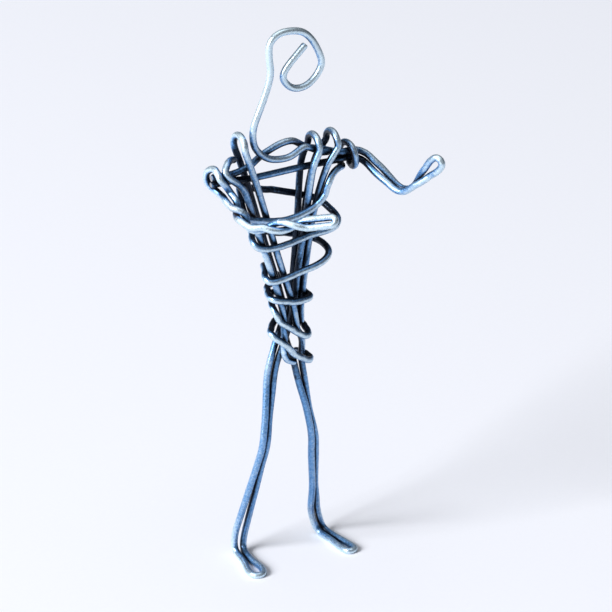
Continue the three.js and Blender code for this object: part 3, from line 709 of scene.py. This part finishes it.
def left_arm():
    """The two shoulder bars go on into the arm, and meet in the loop that is the hand."""
    shoulder, elbow = hinge("left_shoulder_bend"), hinge("left_elbow_bend")
    upper = upper_arm("left")
    bars = {bar: inside(bar, shoulder)[::-1] for bar in ("shoulder_back_bar", "shoulder_lower_bar")}
    strand_of = {
        bar: min(upper, key=lambda place: (upper[place][0] - across[-1]).length)
        for bar, across in bars.items()
    }
    hand = both_inside("left_forearm_loop")
    first, last = sorted(bars, key=lambda bar: (upper[strand_of[bar]][-1] - hand[0]).length)
    start, end = upper[strand_of[first]], upper[strand_of[last]]
    line = smooth([*bars[first], *start, *hand, *end[::-1], *bars[last][::-1]])
    line = eased(line, [shoulder, elbow])
    first_cut, last_cut = cuts_at(line, [half_way(start), half_way(end)])
    forearm("left", line[first_cut:last_cut + 1])
    for bar, stretch in ((first, line[:first_cut + 1]), (last, line[last_cut:][::-1])):
        wire = make_wire(f"{bar}_wire", stretch, True, False)
        stand_for(wire, bar, f"left_upper_arm_{strand_of[bar]}")
        bend_at(wire)


def right_arm():
    """The arm is one wire that is bent over the bars at the shoulder and into a loop at the hand."""
    shoulder, elbow = hinge("right_shoulder_bend"), hinge("right_elbow_bend")
    upper = upper_arm("right")
    coil = swung(smooth(both_inside("right_shoulder_coil")), COIL_TURN, COIL_SHIFT)
    coil = drawn(coil, wires_so_far(), PUSH_OFF)
    hand = narrow_eye(both_inside("right_forearm_loop"), RIGHT_HAND_EYE)
    start, end = turned(upper["front"], upper["back"], RIGHT_ARM_TURN, TWISTED_LEAST)
    if (start[0] - coil[-1]).length > (end[0] - coil[-1]).length:
        start, end = end, start
    if (start[-1] - hand[0]).length > (end[-1] - hand[0]).length:
        hand.reverse()
    line = smooth([*coil, *start, *hand, *end[::-1]], closed=True)
    line = eased(line, [shoulder, elbow], RIGHT_ARM_STEPS)
    loop, over_bars = pieces(line, [half_way(start), half_way(end)])
    forearm("right", loop)
    wire = make_wire("right_shoulder_wire", over_bars, False, False)
    stand_for(wire, "right_shoulder_coil", "right_upper_arm_front", "right_upper_arm_back")
    bend_at(wire)


def bindings():
    """The two windings, drawn tight round the strands."""
    strands = wires_so_far()
    for binding, loose in (("chest_binding", LOOSE_START), ("hip_binding", 0)):
        line = downwards(smooth(centre_line(binding)))
        torso_wire(f"{binding}_wire", binding, drawn(line, strands, PULL_IN + PUSH_OFF, loose))


def paint_light_and_shade():
    """Keeps, for each point of a wire, the share of its outlook that wires take up, as painted shade, plus
    painted shade on the legs and a painted highlight on the head by height.
    """
    middles = np.concatenate([line[::OUTLOOK_STRIDE] for _, line in made_wires])
    piece = WIRE_STEP * OUTLOOK_STRIDE * WIRE_RADIUS * 2 / math.pi
    for mesh, line in made_wires:
        spots = np.array([vertex.co for vertex in mesh.vertices])
        shares = []
        for some in np.array_split(spots, len(spots) // SPOTS_AT_ONCE + 1):
            nearest = np.linalg.norm(line - some[:, None], axis=2).argmin(1)
            ways = (some - line[nearest]) / WIRE_RADIUS
            gaps = middles - some[:, None]
            far = np.maximum(np.linalg.norm(gaps, axis=2), WIRE_RADIUS)
            facing = np.maximum(np.einsum("ijk,ik->ij", gaps, ways), 0)
            shares.append((facing / far ** 3).sum(1) * piece)
        # by height: painted shade on the legs and a painted highlight on the head
        light_and_shade_by_height = np.interp(spots[:, 2], PAINTED_LIGHT_HEIGHTS, PAINTED_LIGHT_BY_HEIGHT)
        layer = mesh.attributes.new("painted_shade_and_highlight", "FLOAT", "POINT")
        layer.data.foreach_set("value", np.minimum(np.concatenate(shares), 1) + light_and_shade_by_height)


torso_strands()
neck_and_head()
leg("left", "right_shoulder_hairpin", LEFT_LEG_TURN, LEFT_ANKLE_STEPS, LEFT_FOOT_EYE)
leg("right", "left_inner_hairpin", RIGHT_LEG_TURN, RIGHT_ANKLE_STEPS, RIGHT_FOOT_EYE)
left_arm()
right_arm()
bindings()
paint_light_and_shade()


# Floor, light and camera

towards_camera = Vector((
    -math.sin(PHOTO_AZIMUTH) * math.cos(PHOTO_ELEVATION),
    -math.cos(PHOTO_AZIMUTH) * math.cos(PHOTO_ELEVATION),
    math.sin(PHOTO_ELEVATION),
))
picture_right = Vector((math.cos(PHOTO_AZIMUTH), -math.sin(PHOTO_AZIMUTH), 0))


def aim(thing, place, target):
    thing.location = place
    thing.rotation_euler = (target - place).to_track_quat("-Z", "Y").to_euler()


def add_camera():
    data = bpy.data.cameras.new("photo_camera")
    data.sensor_width = SENSOR_WIDTH
    data.lens = data.sensor_width * PHOTO_FOCAL_SHARE
    data.clip_start = NEAR_CLIP
    camera = bpy.data.objects.new("photo_camera", data)
    scene.collection.objects.link(camera)
    aim(camera, PHOTO_CENTRE + towards_camera * PHOTO_DISTANCE, PHOTO_CENTRE)
    scene.camera = camera


def add_floor():
    """Pale paper for the camera and for reflections, which throws little light back up at the wire."""
    material, tree, shader = new_material("white_paper")
    place = add(tree, "ShaderNodeTexCoord").outputs["Object"]
    tooth = pattern(tree, "ShaderNodeTexNoise", place, Scale=900.0, Detail=3.0)
    pale = ramp(tree, tooth, [(0.3, tuple(c * PAPER_TOOTH for c in PAPER)), (0.7, PAPER)])
    ray = add(tree, "ShaderNodeLightPath")
    seen = ray.outputs["Is Camera Ray"]
    for kind in ("Is Glossy Ray", "Is Transmission Ray"):
        either = add(tree, "ShaderNodeMath", operation="MAXIMUM")
        link(tree, seen, either.inputs[0])
        link(tree, ray.outputs[kind], either.inputs[1])
        seen = either.outputs["Value"]
    tone = add(tree, "ShaderNodeMix", data_type="RGBA")
    link(tree, seen, tone.inputs["Factor"])
    tone.inputs[MIX_A].default_value = (*PAPER_BOUNCE, 1)
    link(tree, pale, tone.inputs[MIX_B])
    link(tree, tone.outputs[MIX_RESULT], shader.inputs["Base Color"])
    shader.inputs["Roughness"].default_value = PAPER_ROUGHNESS
    shader.inputs["Specular IOR Level"].default_value = PAPER_SPECULAR
    bpy.ops.mesh.primitive_plane_add(size=FLOOR_SIZE, location=(0, 0, 0))
    floor = bpy.context.object
    floor.name = "paper_floor"
    floor.data.materials.append(material)


def add_lamp(name, way, size, watts):
    data = bpy.data.lights.new(name, "AREA")
    data.shape = "DISK"
    data.size = size
    data.energy = watts
    lamp = bpy.data.objects.new(name, data)
    scene.collection.objects.link(lamp)
    aim(lamp, PHOTO_CENTRE + way.normalized() * LAMP_DISTANCE, PHOTO_CENTRE)


def add_light():
    """A large softbox on the left, as from a window, a weaker one overhead, and dim light all round."""
    world = bpy.data.worlds.new("studio")
    world.use_nodes = True
    scene.world = world
    background = world.node_tree.nodes["Background"]
    background.inputs["Color"].default_value = (*PAPER, 1)
    background.inputs["Strength"].default_value = AMBIENT_STRENGTH
    up = Vector((0, 0, 1))
    front = Vector((towards_camera.x, towards_camera.y, 0)).normalized()
    raised, left, forward = WINDOW_WAY
    window_way = up * raised - picture_right * left + front * forward
    add_lamp("window_softbox", window_way, WINDOW_SIZE, WINDOW_WATTS)
    add_lamp("ceiling_softbox", up, CEILING_SIZE, CEILING_WATTS)


add_camera()
add_floor()
add_light()
